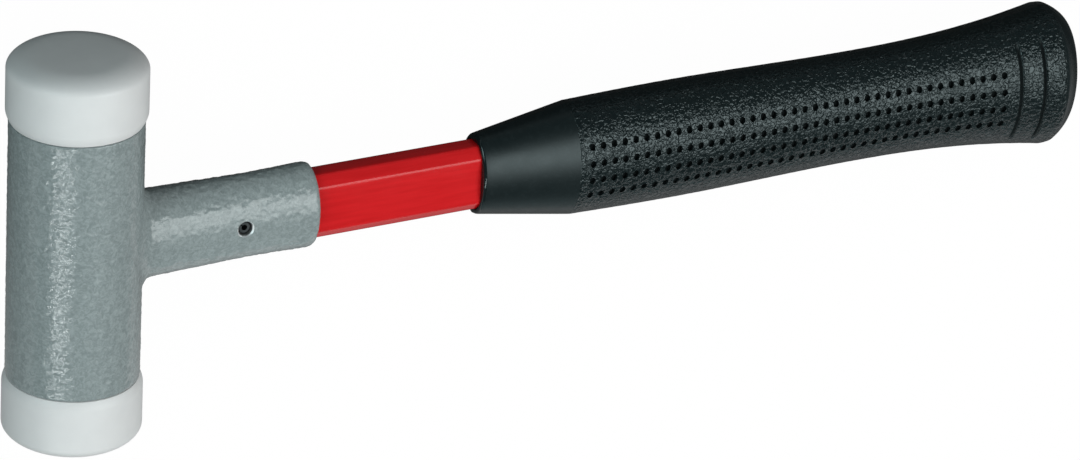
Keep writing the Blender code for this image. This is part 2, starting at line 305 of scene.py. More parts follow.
def makeEnamel():
    finish = {
        "dark": (0.198, 0.224, 0.225),
        "light": (0.288, 0.318, 0.318),
        "markSize": 0.0014,
        "lumpSize": 0.0009,
        "bump": 0.8,
        "bumpHeight": 0.00003,
    }
    material, tree, shader, place = newMaterial("hammeredEnamel", {"Specular IOR Level": 0.4})
    marks = addGroup(tree, pebbleGroup, place, -900, 400, {"Lump Size": finish["markSize"], "Wander": 1.5})
    pebble = addGroup(tree, pebbleGroup, place, -900, 100, {"Lump Size": finish["lumpSize"], "Wander": 0.8})
    gloss = addGroup(tree, mottleGroup, place, -900, -200, {"Patch Size": 0.006, "Low": 0.11, "High": 0.17})
    colour = twoTone(tree, marks.outputs["Height"], finish["dark"], finish["light"], -400, 200)
    dress(tree, shader, colour, gloss.outputs["Value"], pebble.outputs["Height"], finish)
    return material


def makeNylon():
    finish = {
        "dark": (0.672, 0.645, 0.643),
        "light": (0.715, 0.688, 0.684),
        "bump": 0.06,
        "bumpHeight": 0.00002,
    }
    fixed = {
        "Specular IOR Level": 0.35,
        "Subsurface Weight": 0.12,
        "Subsurface Radius": (0.9, 0.95, 1.0),
        "Subsurface Scale": 0.0015,
    }
    material, tree, shader, place = newMaterial("whiteNylon", fixed)
    tone = addGroup(tree, mottleGroup, place, -900, 200, {"Patch Size": 0.012, "Low": 0.0, "High": 1.0})
    gloss = addGroup(tree, mottleGroup, place, -900, -100, {"Patch Size": 0.004, "Low": 0.42, "High": 0.50})
    pebble = addGroup(tree, pebbleGroup, place, -900, -400, {"Lump Size": 0.0009, "Wander": 0.2})
    colour = twoTone(tree, tone.outputs["Value"], finish["dark"], finish["light"], -400, 200)
    dress(tree, shader, colour, gloss.outputs["Value"], pebble.outputs["Height"], finish)
    return material


def makeLacquer():
    finish = {
        "dark": (0.555, 0.008, 0.010),
        "light": (0.635, 0.012, 0.015),
        "bump": 0.05,
        "bumpHeight": 0.00002,
    }
    material, tree, shader, place = newMaterial("redLacquer", {"Specular IOR Level": 0.24})
    # fibres run along the handle
    stretch = addNode(tree, "ShaderNodeMapping", -1100, 0, {"Scale": (0.08, 1.0, 1.0)})
    tree.links.new(place, stretch.inputs["Vector"])
    along = stretch.outputs["Vector"]
    tone = addGroup(tree, mottleGroup, along, -900, 200, {"Patch Size": 0.0012, "Low": 0.0, "High": 1.0})
    gloss = addGroup(tree, mottleGroup, place, -900, -100, {"Patch Size": 0.008, "Low": 0.13, "High": 0.19})
    fibre = addGroup(tree, pebbleGroup, along, -900, -400, {"Lump Size": 0.0006, "Wander": 0.1})
    colour = twoTone(tree, tone.outputs["Value"], finish["dark"], finish["light"], -400, 200)
    dress(tree, shader, colour, gloss.outputs["Value"], fibre.outputs["Height"], finish)
    return material


def makeRubber(mouth, grainFrom, grainTo):
    finish = {
        # dark and light: the grain's hollows and crests, with painted shade and highlight between them
        "dark": (0.0028, 0.0055, 0.0060),
        "light": (0.0053, 0.0088, 0.0095),
        # the recess colour is painted shade for the dimples and grooves
        "recess": (0.0012, 0.0025, 0.0027),
        "lumpSize": 0.00100,
        "bump": 1.0,
        "bumpHeight": 0.00016,
        "noseFade": 0.0002,
        "rimFade": 0.0005,
        "lip": 0.0007,
        "rimGloss": 0.4,
    }
    fixed = {"Specular IOR Level": 0.37, "Specular Tint": (0.84, 0.98, 1.0, 1)}
    material, tree, shader, place = newMaterial("blackRubber", fixed)
    lumps = {"Lump Size": finish["lumpSize"], "Wander": 0.9, "Fine Share": 0.05}
    pebble = addGroup(tree, pebbleGroup, place, -900, 100, lumps)
    plain = addGroup(tree, mottleGroup, place, -900, -150, {"Patch Size": 0.005, "Low": 0.34, "High": 0.40})
    grained = addGroup(tree, mottleGroup, place, -900, -300, {"Patch Size": 0.005, "Low": 0.10, "High": 0.14})
    # the nose and the rim of the butt are moulded smooth
    split = addNode(tree, "ShaderNodeSeparateXYZ", -1100, -400)
    tree.links.new(place, split.inputs["Vector"])
    fades = (
        (grainFrom, grainFrom + finish["noseFade"], 0.0, 1.0),
        (grainTo - finish["rimFade"], grainTo, 1.0, 0.0),
    )
    edges = []
    for row, ends in enumerate(fades):
        values = dict(zip(("From Min", "From Max", "To Min", "To Max"), ends))
        edge = addNode(tree, "ShaderNodeMapRange", -900, -450 - 250 * row, values)
        tree.links.new(split.outputs["X"], edge.inputs["Value"])
        edges.append(edge.outputs["Result"])
    zone = mathNode(tree, "MULTIPLY", -650, -500, *edges)
    height = mathNode(tree, "MULTIPLY", -600, -100, pebble.outputs["Height"], zone)
    # the lip at the mouth shines like the grain, the rim of the butt less so
    lip = mathNode(tree, "LESS_THAN", -800, -850, split.outputs["X"], mouth + finish["lip"])
    rim = mathNode(tree, "GREATER_THAN", -800, -1000, split.outputs["X"], grainTo)
    rim = mathNode(tree, "MULTIPLY", -650, -1000, rim, finish["rimGloss"])
    shiny = mathNode(tree, "MAXIMUM", -500, -850, rim, mathNode(tree, "MAXIMUM", -650, -700, zone, lip))
    gloss = addNode(tree, "ShaderNodeMix", -600, -250, data_type="FLOAT")
    tree.links.new(shiny, gloss.inputs["Factor"])
    tree.links.new(plain.outputs["Value"], gloss.inputs["A"])
    tree.links.new(grained.outputs["Value"], gloss.inputs["B"])
    # painted shade: dimples and grooves get a darker colour, and a dull gloss
    recess = addNode(tree, "ShaderNodeAttribute", -600, 400, attribute_name="recess").outputs["Fac"]
    # painted highlight and shade in the grain: its crests are coloured lighter, its hollows darker
    colour = twoTone(tree, pebble.outputs["Crest"], finish["dark"], finish["light"], -600, 200)
    paintedShade = addNode(tree, "ShaderNodeMix", -350, 250, {"B": (*finish["recess"], 1)}, data_type="RGBA")
    tree.links.new(recess, paintedShade.inputs["Factor"])
    tree.links.new(colour, paintedShade.inputs["A"])
    dull = addNode(tree, "ShaderNodeMix", -350, -80, {"B": 1.0}, data_type="FLOAT")
    tree.links.new(recess, dull.inputs["Factor"])
    tree.links.new(gloss.outputs["Result"], dull.inputs["A"])
    dress(tree, shader, paintedShade.outputs["Result"], dull.outputs["Result"], height, finish)
    return material


def makeSteel(name, dark, light, low, high):
    finish = {"bump": 0.1, "bumpHeight": 0.00001}
    material, tree, shader, place = newMaterial(name, {"Metallic": 1.0})
    tone = addGroup(tree, mottleGroup, place, -900, 200, {"Patch Size": 0.002, "Low": 0.0, "High": 1.0})
    gloss = addGroup(tree, mottleGroup, place, -900, -100, {"Patch Size": 0.0015, "Low": low, "High": high})
    pebble = addGroup(tree, pebbleGroup, place, -900, -400, {"Lump Size": 0.0003, "Wander": 0.3})
    colour = twoTone(tree, tone.outputs["Value"], dark, light, -400, 200)
    dress(tree, shader, colour, gloss.outputs["Value"], pebble.outputs["Height"], finish)
    return material


# geometry trees
def buildRelief():
    # pushes a surface in and out by a soft noise, where its skin value allows
    tree = bpy.data.node_groups.new("surfaceRelief", "GeometryNodeTree")
    addSockets(
        tree,
        [
            ("Geometry", "NodeSocketGeometry", None),
            ("Lump Size", "NodeSocketFloat", 0.0013),
            ("Depth", "NodeSocketFloat", 0.0001),
            ("Level", "NodeSocketFloat", 0.5),
            ("Seed", "NodeSocketFloat", 1.0),
            ("Material", "NodeSocketMaterial", None),
        ],
        [("Geometry", "NodeSocketGeometry")],
    )
    source = addNode(tree, "NodeGroupInput", -1000, 0)
    target = addNode(tree, "NodeGroupOutput", 800, 0)
    scale = mathNode(tree, "DIVIDE", -800, -200, 1.0, source.outputs["Lump Size"])
    lumps = {"Detail": 1.0, "Distortion": 0.4}
    noise = addNode(tree, "ShaderNodeTexNoise", -600, -150, lumps, noise_dimensions="4D")
    tree.links.new(addNode(tree, "GeometryNodeInputPosition", -800, -60).outputs[0], noise.inputs["Vector"])
    tree.links.new(source.outputs["Seed"], noise.inputs["W"])
    tree.links.new(scale, noise.inputs["Scale"])
    lift = mathNode(tree, "SUBTRACT", -400, -150, noise.outputs["Fac"], source.outputs["Level"])
    lift = mathNode(tree, "MULTIPLY", -220, -150, lift, source.outputs["Depth"])
    skin = addNode(tree, "GeometryNodeInputNamedAttribute", -400, -350, {"Name": "skin"}, data_type="FLOAT")
    lift = mathNode(tree, "MULTIPLY", -40, -200, lift, skin.outputs["Attribute"])
    offset = addNode(tree, "ShaderNodeVectorMath", 140, -150, operation="SCALE")
    tree.links.new(addNode(tree, "GeometryNodeInputNormal", -40, -60).outputs[0], offset.inputs[0])
    tree.links.new(lift, offset.inputs["Scale"])
    move = addNode(tree, "GeometryNodeSetPosition", 300, 0)
    realize = addNode(tree, "GeometryNodeRealizeInstances", 460, 0)
    paint = addNode(tree, "GeometryNodeSetMaterial", 620, 0)
    tree.links.new(source.outputs["Geometry"], move.inputs["Geometry"])
    tree.links.new(offset.outputs[0], move.inputs["Offset"])
    tree.links.new(move.outputs["Geometry"], realize.inputs["Geometry"])
    tree.links.new(realize.outputs["Geometry"], paint.inputs["Geometry"])
    tree.links.new(source.outputs["Material"], paint.inputs["Material"])
    tree.links.new(paint.outputs["Geometry"], target.inputs["Geometry"])
    return tree


def buildDimples():
    # rows of dimples on both flanks: rays find the surface, short plugs are cut out of it
    tree = bpy.data.node_groups.new("dimpleRows", "GeometryNodeTree")
    addSockets(
        tree,
        [
            ("Geometry", "NodeSocketGeometry", None),
            ("First", "NodeSocketFloat", 0.137),
            ("Pitch", "NodeSocketFloat", 0.003),
            ("Count", "NodeSocketInt", 40),
            ("Rows", "NodeSocketInt", 4),
            ("Row Step", "NodeSocketFloat", 0.3),
            ("Flare From", "NodeSocketFloat", 0.2),
            ("Flare To", "NodeSocketFloat", 0.3),
            ("Closing", "NodeSocketFloat", 0.9),
            ("Section Ratio", "NodeSocketFloat", 1.4),
            ("Radius", "NodeSocketFloat", 0.0007),
            ("Depth", "NodeSocketFloat", 0.001),
            ("Stretch", "NodeSocketFloat", 1.2),
            ("Material", "NodeSocketMaterial", None),
        ],
        [("Geometry", "NodeSocketGeometry")],
    )
    source = addNode(tree, "NodeGroupInput", -1700, 0)
    target = addNode(tree, "NodeGroupOutput", 1320, 0)
    start = addNode(tree, "ShaderNodeCombineXYZ", -1500, -100)
    step = addNode(tree, "ShaderNodeCombineXYZ", -1500, -250)
    tree.links.new(source.outputs["First"], start.inputs["X"])
    tree.links.new(source.outputs["Pitch"], step.inputs["X"])
    line = addNode(tree, "GeometryNodeMeshLine", -1300, -100, mode="OFFSET")
    tree.links.new(source.outputs["Count"], line.inputs["Count"])
    tree.links.new(start.outputs[0], line.inputs["Start Location"])
    tree.links.new(step.outputs[0], line.inputs["Offset"])
    points = addNode(tree, "GeometryNodeMeshToPoints", -1130, -100)
    tree.links.new(line.outputs["Mesh"], points.inputs["Mesh"])
    copies = addNode(tree, "GeometryNodeDuplicateElements", -960, -100, domain="POINT")
    both = mathNode(tree, "MULTIPLY", -1130, -260, source.outputs["Rows"], 2.0)
    tree.links.new(points.outputs["Points"], copies.inputs["Geometry"])
    tree.links.new(both, copies.inputs["Amount"])
    # each copy is one row: its place round the section, and the flank it is on
    number = copies.outputs["Duplicate Index"]
    row = mathNode(tree, "MODULO", -780, -300, number, source.outputs["Rows"])
    half = mathNode(tree, "MULTIPLY_ADD", -780, -450, source.outputs["Rows"], 0.5, -0.5)
    angle = mathNode(tree, "SUBTRACT", -600, -300, row, half)
    angle = mathNode(tree, "MULTIPLY", -440, -300, angle, source.outputs["Row Step"])
    # rows keep their spacing where the section flares
    spot = addNode(tree, "GeometryNodeInputPosition", -960, -750)
    parts = addNode(tree, "ShaderNodeSeparateXYZ", -780, -750)
    close = addNode(tree, "ShaderNodeMapRange", -600, -750, {"To Min": 1.0})
    tree.links.new(spot.outputs["Position"], parts.inputs["Vector"])
    tree.links.new(parts.outputs["X"], close.inputs["Value"])
    for socket, end in (("Flare From", "From Min"), ("Flare To", "From Max"), ("Closing", "To Max")):
        tree.links.new(source.outputs[socket], close.inputs[end])
    angle = mathNode(tree, "MULTIPLY", -360, -450, angle, close.outputs["Result"])
    flank = mathNode(tree, "DIVIDE", -780, -600, number, source.outputs["Rows"])
    flank = mathNode(tree, "FLOOR", -600, -600, flank)
    flank = mathNode(tree, "MULTIPLY_ADD", -440, -600, flank, -2.0, 1.0)
    up = mathNode(tree, "SINE", -280, -250, angle)
    up = mathNode(tree, "MULTIPLY", -120, -250, up, source.outputs["Section Ratio"])
    across = mathNode(tree, "COSINE", -280, -420, angle)
    across = mathNode(tree, "MULTIPLY", -120, -420, across, flank)
    ray = addNode(tree, "ShaderNodeCombineXYZ", 40, -300)
    tree.links.new(up, ray.inputs["Y"])
    tree.links.new(across, ray.inputs["Z"])
    hit = addNode(tree, "GeometryNodeRaycast", 200, -200, {"Ray Length": 0.1})
    tree.links.new(source.outputs["Geometry"], hit.inputs["Target Geometry"])
    tree.links.new(ray.outputs[0], hit.inputs["Ray Direction"])
    move = addNode(tree, "GeometryNodeSetPosition", 380, -100)
    tree.links.new(copies.outputs["Geometry"], move.inputs["Geometry"])
    tree.links.new(hit.outputs["Hit Position"], move.inputs["Position"])
    plug = addNode(tree, "GeometryNodeMeshCylinder", 200, -450, {"Vertices": 18})
    tree.links.new(source.outputs["Radius"], plug.inputs["Radius"])
    tree.links.new(mathNode(tree, "MULTIPLY", 40, -500, source.outputs["Depth"], 2.0), plug.inputs["Depth"])
    face = addNode(tree, "FunctionNodeAlignRotationToVector", 380, -300, axis="Z")
    tree.links.new(hit.outputs["Hit Normal"], face.inputs["Vector"])
    forward = {"Vector": (1, 0, 0)}
    along = addNode(tree, "FunctionNodeAlignRotationToVector", 540, -300, forward, axis="X", pivot_axis="Z")
    tree.links.new(face.outputs["Rotation"], along.inputs["Rotation"])
    shape = addNode(tree, "ShaderNodeCombineXYZ", 540, -450, {"X": 1.0, "Z": 1.0})
    tree.links.new(source.outputs["Stretch"], shape.inputs["Y"])
    plugs = addNode(tree, "GeometryNodeInstanceOnPoints", 700, -150)
    tree.links.new(move.outputs["Geometry"], plugs.inputs["Points"])
    tree.links.new(plug.outputs["Mesh"], plugs.inputs["Instance"])
    tree.links.new(along.outputs["Rotation"], plugs.inputs["Rotation"])
    tree.links.new(shape.outputs[0], plugs.inputs["Scale"])
    realize = addNode(tree, "GeometryNodeRealizeInstances", 860, -150)
    tree.links.new(plugs.outputs["Instances"], realize.inputs["Geometry"])
    carve = addNode(tree, "GeometryNodeMeshBoolean", 1000, 0, operation="DIFFERENCE", solver="MANIFOLD")
    tree.links.new(source.outputs["Geometry"], carve.inputs["Mesh 1"])
    tree.links.new(realize.outputs["Geometry"], carve.inputs["Mesh 2"])
    paint = addNode(tree, "GeometryNodeSetMaterial", 1160, 0)
    tree.links.new(carve.outputs["Mesh"], paint.inputs["Geometry"])
    tree.links.new(source.outputs["Material"], paint.inputs["Material"])
    tree.links.new(paint.outputs["Geometry"], target.inputs["Geometry"])
    return tree


def buildBalls():
    # a ball on every point
    tree = bpy.data.node_groups.new("shotBalls", "GeometryNodeTree")
    addSockets(
        tree,
        [
            ("Geometry", "NodeSocketGeometry", None),
            ("Ball Radius", "NodeSocketFloat", 0.004),
            ("Material", "NodeSocketMaterial", None),
        ],
        [("Geometry", "NodeSocketGeometry")],
    )
    source = addNode(tree, "NodeGroupInput", -600, 0)
    target = addNode(tree, "NodeGroupOutput", 400, 0)
    ball = addNode(tree, "GeometryNodeMeshIcoSphere", -400, -150, {"Subdivisions": 4})
    balls = addNode(tree, "GeometryNodeInstanceOnPoints", -200, 0)
    realize = addNode(tree, "GeometryNodeRealizeInstances", 0, 0)
    paint = addNode(tree, "GeometryNodeSetMaterial", 200, 0)
    tree.links.new(source.outputs["Ball Radius"], ball.inputs["Radius"])
    tree.links.new(source.outputs["Geometry"], balls.inputs["Points"])
    tree.links.new(ball.outputs["Mesh"], balls.inputs["Instance"])
    tree.links.new(balls.outputs["Instances"], realize.inputs["Geometry"])
    tree.links.new(realize.outputs["Geometry"], paint.inputs["Geometry"])
    tree.links.new(source.outputs["Material"], paint.inputs["Material"])
    tree.links.new(paint.outputs["Geometry"], target.inputs["Geometry"])
    return tree


reliefTree = buildRelief()
enamel = makeEnamel()
nylon = makeNylon()
lacquer = makeLacquer()
bareSteel = makeSteel("bareSteel", (0.72, 0.72, 0.72), (0.80, 0.80, 0.80), 0.42, 0.52)
springSteel = makeSteel("springSteel", (0.045, 0.050, 0.052), (0.075, 0.080, 0.082), 0.38, 0.50)
print("finishes and trees ready")


def addRelief(obj, skin, lump, depth, level, seed, material):
    # skin says how strongly the relief shows at each point
    setPoints(obj, "skin", skin)
    values = {"Lump Size": lump, "Depth": depth, "Level": level, "Seed": seed, "Material": material}
    addTree(obj, reliefTree, values)


# head tube
tube = {
    "radius": 0.0167,
    "length": 0.0694,
    "wall": 0.003,
    "edgeRound": 0.0004,
    "around": 360,
    "along": 240,
    "lump": 0.0013,
    "relief": 0.00036,
    "level": 0.5,
    "seed": 3.0,
}


def makeTube():
    radius, half, edge = tube["radius"], tube["length"] / 2, tube["edgeRound"]
    bore = radius - tube["wall"]
    sides = [(radius, y) for y in np.linspace(-half + edge, half - edge, tube["along"])]
    top = arc((radius - edge, half - edge), edge, 0, 90, 4)[1:]
    low = arc((radius - edge, -half + edge), edge, -90, 0, 4)[:-1]
    inside = [(bore, y) for y in np.linspace(half, -half, 5)]
    profile = low + sides + top + inside
    obj = loftObject("headTube", turnedRings(profile, tube["around"]), closed=True)
    outside = [1.0 if r > radius - edge * 0.9 else 0.0 for r, y in profile]
    skin = np.repeat(outside, tube["around"])
    addRelief(obj, skin, tube["lump"], tube["relief"], tube["level"], tube["seed"], enamel)
    freeze(obj)
    settle(obj, "hammer", "grey_enamel", "head_tube")


makeTube()


# neck that takes the handle
core = {
    "height": 0.0176,
    "width": 0.0093,
    "cornerHeight": 0.0027,
    "cornerWidth": 0.00225,
    "cornerRound": 0.0006,
    "start": 0.0210,
    "end": 0.2700,
    "endBevel": 0.0005,
    "endScale": (0.96, 0.93),
    "gap": 0.0003,
}
pin = {
    "x": 0.0427,
    "radius": 0.00165,
    "wall": 0.000952,
    "slot": 0.0003,
    "slotTurn": 2.4,
    "chamfer": 0.00025,
    "innerChamfer": 0.3,
    "sink": 0.0011,
    "hole": 0.00195,
    "holeChamfer": 0.0004,
    "clear": 0.001,
    "around": 40,
}
neck = {
    "length": 0.0466,
    "fillet": 0.003,
    "lip": 0.0017,
    "waistFromEnd": 0.017,
    "rootWall": (0.0027, 0.0039),
    "waistWall": (0.00225, 0.0028),
    "endWall": (0.0025, 0.0033),
    "around": 180,
    "along": 110,
    "filletSteps": 16,
    "rootDepth": 0.001,
    "boreTo": 0.08,
    "relief": 0.00050,
}


def ease(share):
    share = np.clip(share, 0, 1)
    return share * share * (3 - 2 * share)


def neckHalf(x):
    # half height and half width of the neck, before its fillet and lip
    waistAt = tube["radius"] + neck["length"] - neck["waistFromEnd"]
    if x < waistAt:
        share = ease((x - tube["radius"]) / (waistAt - tube["radius"]))
        walls = zip(neck["rootWall"], neck["waistWall"])
    else:
        share = ease((x - waistAt) / neck["waistFromEnd"])
        walls = zip(neck["waistWall"], neck["endWall"])
    top, side = [a + (b - a) * share for a, b in walls]
    return core["height"] / 2 + top, core["width"] / 2 + side


def coreOutline(gap, steps):
    # section of the handle as (y, z): eight sides, each corner cut by a short curve
    high, wide, reach = core["height"] / 2 + gap, core["width"] / 2 + gap, core["cornerRound"]
    quarter = [(high, wide - core["cornerWidth"]), (high - core["cornerHeight"], wide)]
    half = quarter + [(-y, z) for y, z in reversed(quarter)]
    corners = [Vector(c) for c in half + [(-y, -z) for y, z in half]]
    points = []
    for i, corner in enumerate(corners):
        before = corner + (corners[i - 1] - corner).normalized() * reach
        after = corner + (corners[(i + 1) % len(corners)] - corner).normalized() * reach
        for j in range(steps + 1):
            t = j / steps
            points.append(tuple(before * (1 - t) ** 2 + corner * 2 * t * (1 - t) + after * t * t))
    return points


def makeBore(name, start, end):
    # cutter that leaves room for the handle core
    outline = coreOutline(core["gap"], 3)
    return loftObject(name, [alongX(outline, x) for x in (start, end)])


def makePinHole(name, profile):
    # cutter turned about the pin's axis, which runs across the handle
    rings = turnedRings(profile, pin["around"])
    return loftObject(name, np.stack([rings[..., 0] + pin["x"], rings[..., 2], rings[..., 1]], -1))


def makeNeck():
    radius, fillet, lip = tube["radius"], neck["fillet"], neck["lip"]
    # each step: rise from the tube, growth over the plain section, how straight the ring is, shrink, skin
    steps = []
    for shrink in (0.05, 0.3, 0.6, 0.85, 1.0):
        steps.append((-neck["rootDepth"], fillet, 0.0, shrink, 0.0))
    for angle in np.radians(np.linspace(90, 0, neck["filletSteps"])):
        steps.append((fillet * (1 - math.sin(angle)), fillet * (1 - math.cos(angle)), 0.0, 1.0, 1.0))
    for share in np.linspace(0, 1, neck["along"])[1:]:
        rise = fillet + (neck["length"] - lip - fillet) * share
        steps.append((rise, 0.0, ease(2 * share), 1.0, 1.0))
    for angle in np.radians(np.linspace(0, 90, 9))[1:]:
        rise = neck["length"] - lip * (1 - math.sin(angle))
        steps.append((rise, -lip * (1 - math.cos(angle)), 1.0, 1.0, math.cos(angle)))
    turn = np.linspace(0, 2 * math.pi, neck["around"], endpoint=False)
    rings, skin = [], []
    for rise, grow, straight, shrink, show in steps:
        halfHeight, halfWidth = neckHalf(radius + max(rise, 0))
        y = (halfHeight + grow) * shrink * np.cos(turn)
        z = (halfWidth + grow) * shrink * np.sin(turn)
        side = np.sqrt(radius**2 - z * z)
        rings.append(np.stack([rise + side + (radius - side) * straight, y, z], -1))
        skin += [show] * neck["around"]
    obj = loftObject("handleNeck", rings)
    addRelief(obj, skin, tube["lump"], neck["relief"], tube["level"], tube["seed"], enamel)
    # bore for the handle, and the pin's hole with its bright chamfer
    bore = makeBore("neckBore", core["start"] - core["gap"], neck["boreTo"])
    bore.data.materials.append(enamel)
    surface = neckHalf(pin["x"])[1]
    wide = pin["hole"] + pin["holeChamfer"] + pin["clear"]
    profile = [(wide, surface + pin["clear"]), (pin["hole"], surface - pin["holeChamfer"])]
    profile += [(r, -z) for r, z in reversed(profile)]
    hole = makePinHole("pinHole", profile)
    hole.data.materials.append(bareSteel)
    cutAway(obj, bore, transfer=True)
    cutAway(obj, hole, transfer=True)
    freeze(obj)
    dropCutter(bore)
    dropCutter(hole)
    settle(obj, "hammer", "grey_enamel", "handle_socket")


makeNeck()


# handle core and its pin
def makeCore():
    outline = coreOutline(0.0, 4)
    scaleY, scaleZ = core["endScale"]
    small = [(y * scaleY, z * scaleZ) for y, z in outline]
    start, end, bevel = core["start"], core["end"], core["endBevel"]
    rings = [alongX(small, start)]
    rings += [alongX(outline, x) for x in np.linspace(start + bevel, end - bevel, 60)]
    rings.append(alongX(small, end))
    obj = loftObject("handleCore", rings)
    obj.data.materials.append(lacquer)
    hole = makePinHole("corePinHole", [(pin["hole"], core["width"]), (pin["hole"], -core["width"])])
    hole.data.materials.append(lacquer)
    cutAway(obj, hole)
    freeze(obj, sharpAngle=30)
    dropCutter(hole)
    settle(obj, "hammer", "red_fibre", "handle_core")


def makePin():
    # rolled from strip: a ring left open by a narrow slot, ends chamfered
    half = neckHalf(pin["x"])[1] - pin["sink"]
    outer, inner = pin["radius"], pin["radius"] - pin["wall"]
    chamfer = pin["chamfer"]

    def section(cut):
        loop = []
        for radius, forward in ((outer - cut, True), (inner + cut * pin["innerChamfer"], False)):
            slotHalf = math.asin(pin["slot"] / 2 / radius)
            turns = np.linspace(slotHalf, 2 * math.pi - slotHalf, 37) + pin["slotTurn"]
            for turn in turns if forward else turns[::-1]:
                loop.append((radius * math.cos(turn), radius * math.sin(turn)))
        return loop

    rings = []
    for z, cut in ((-half, chamfer), (-half + chamfer, 0), (half - chamfer, 0), (half, chamfer)):
        rings.append([(pin["x"] + a, b, z) for a, b in section(cut)])
    obj = loftObject("springPin", rings)
    obj.data.materials.append(springSteel)
    freeze(obj, sharpAngle=35)
    settle(obj, "hammer", "spring_steel", "spring_pin")


makeCore()
makePin()


# nylon faces
face = {
    "radius": 0.0175,
    "end": 0.0522,
    "flat": 0.002,
    "seat": 0.0348,
    "edgeReach": 0.0065,
    "edgeDrop": 0.0032,
    "crown": 0.0008,
    "bevelHeight": 0.0027,
    "bevelDepth": 0.0009,
    "bevelPower": 1.8,
    "seatRound": 0.0001,
    "seatEdge": 0.0004,
    "spigot": 0.010,
    "barbs": 3,
    "barbDepth": 0.0006,
    "gap": 0.0003,
    "pole": 0.00002,
    "around": 160,
}


def makeFace(name, sign, body, node):
    radius, reach, flat = face["radius"], face["edgeReach"], face["flat"]

    def domed(r, drop=0.0):
        return r, face["end"] - face["crown"] * ((r - flat) / (radius - flat)) ** 2 - drop

    profile = [(face["pole"], face["end"])] + [(r, face["end"]) for r in np.linspace(0.2, 0.9, 4) * flat]
    profile += [domed(r) for r in np.linspace(flat, radius - reach, 14)]
    for angle in np.radians(np.linspace(0, 90, 19))[1:]:  # soft edge of the striking face
        r = radius - reach * (1 - math.sin(angle))
        profile.append(domed(r, face["edgeDrop"] * (1 - math.cos(angle))))
    sideTop, bevelTop = profile[-1][1], face["seat"] + face["bevelHeight"]
    profile += [(radius, y) for y in np.linspace(sideTop, bevelTop, 6)[1:]]
    for share in np.linspace(0, 1, 12)[1:]:  # the bevel rolls off softly
        drop = face["bevelDepth"] * share ** face["bevelPower"]
        profile.append((radius - drop, bevelTop - (face["bevelHeight"] - face["seatRound"]) * share))
    profile.append((radius - face["bevelDepth"] - face["seatEdge"], face["seat"]))
    barb = tube["radius"] - tube["wall"] - face["gap"]
    step = face["spigot"] / face["barbs"]
    for i in range(face["barbs"]):
        profile.append((barb, face["seat"] - i * step))
        profile.append((barb - face["barbDepth"], face["seat"] - (i + 1) * step))
    profile.append((face["pole"], face["seat"] - face["spigot"]))
    rings = turnedRings([(r, sign * y) for r, y in profile], face["around"])
    obj = loftObject(name, rings)
    obj.data.materials.append(nylon)
    freeze(obj, sharpAngle=35)
    settle(obj, body, "white_nylon", node)


makeFace("upperFace", 1, "upper_face", "upper_face")
makeFace("lowerFace", -1, "lower_face", "lower_face")


# moulded grip
grip = {
    "start": 0.1085,
    "length": 0.1718,
    "nose": 0.0265,
    "mouthRound": 0.0008,
    "mouthWall": (0.00205, 0.0023),
    "shoulderWall": (0.0066, 0.0060),
    "bellyFromShoulder": 0.030,
    "bellyWall": (0.00705, 0.00635),
    "waistFromButt": 0.0561,
    "waistWall": (0.0063, 0.00575),
    "buttWall": (0.0107, 0.0096),
    "buttRound": 0.0084,
    "buttEdge": 0.0020,
    "buttEdgeDrop": 0.00015,
    "buttLean": 28,
    "flarePower": 2.36,
    "around": 176,
    "step": 0.00047,
    "fineFromGroove": 0.0015,
    "fineStep": 0.0002,
    "grainFrom": 0.1340,
    "grainTo": 0.2740,
    "grainFade": (0.0003, 0.001),
    "grain": 0.00010,
    "grainLump": 0.0013,
    "grainLevel": 0.85,
    "grainSeed": 8.0,
    "grooves": (0.2609, 0.2675),
    "grooveHalf": 0.0006,
    "grooveDepth": 0.0008,
    "grooveReach": 60,
    "grooveFade": 22,
    "seamHigh": 0.00016,
    "seamHalf": 0.0005,
    "recessFrom": 0.00022,
    "recessFade": 0.0003,
    "boreFrom": 0.09,
}
# inputs of the dimples' tree
dimples = {
    "First": 0.1372,
    "Pitch": 0.003046,
    "Count": 40,
    "Rows": 4,
    "Row Step": math.radians(17.25),
    "Flare From": 0.216,
    "Flare To": 0.256,
    "Closing": 0.90,
    "Radius": 0.00083,
    "Depth": 0.0011,
    "Stretch": 1.12,
}


def gripWall(x, which):
    mouth, shoulder, belly = [grip[key][which] for key in ("mouthWall", "shoulderWall", "bellyWall")]
    waist, butt = grip["waistWall"][which], grip["buttWall"][which]
    shoulderAt = grip["start"] + grip["nose"]
    bellyAt = shoulderAt + grip["bellyFromShoulder"]
    buttAt = grip["start"] + grip["length"] - grip["buttRound"]
    waistAt = buttAt - grip["waistFromButt"]
    if x <= shoulderAt:
        return mouth + (shoulder - mouth) * (x - grip["start"]) / grip["nose"]
    if x <= bellyAt:
        share = math.sin(math.pi / 2 * (x - shoulderAt) / grip["bellyFromShoulder"])
        return shoulder + (belly - shoulder) * share
    if x <= waistAt:
        return belly + (waist - belly) * ease((x - bellyAt) / (waistAt - bellyAt))
    return waist + (butt - waist) * min((x - waistAt) / (buttAt - waistAt), 1) ** grip["flarePower"]


